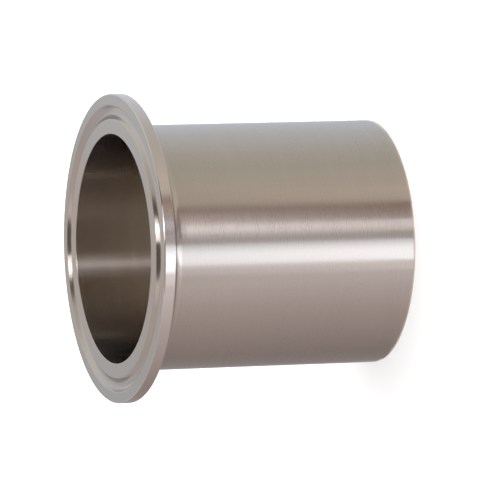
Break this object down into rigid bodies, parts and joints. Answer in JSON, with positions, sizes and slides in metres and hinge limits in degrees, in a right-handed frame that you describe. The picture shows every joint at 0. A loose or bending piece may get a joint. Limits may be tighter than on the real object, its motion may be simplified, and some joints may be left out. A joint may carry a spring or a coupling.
{
  "type": "sanitary clamp ferrule",
  "caption": "Short stainless steel tube with a flat clamp flange at one end, a ring groove for a gasket in the flange face, a tapered flange back and a square weld end.",
  "frame": {"origin": "centre of the square weld end, on the axis, at the surface that the part stands on", "axes": "+Z along the tube's axis, from the weld end to the flange face; the part is round, so X and Y are free"},
  "size_m": [0.064, 0.064, 0.0571],
  "materials": {
    "turned_steel": "fine turned, satin"
  },
  "bodies": {
    "root": {"ferrule": "turned_steel"}
  },
  "joints": []
}
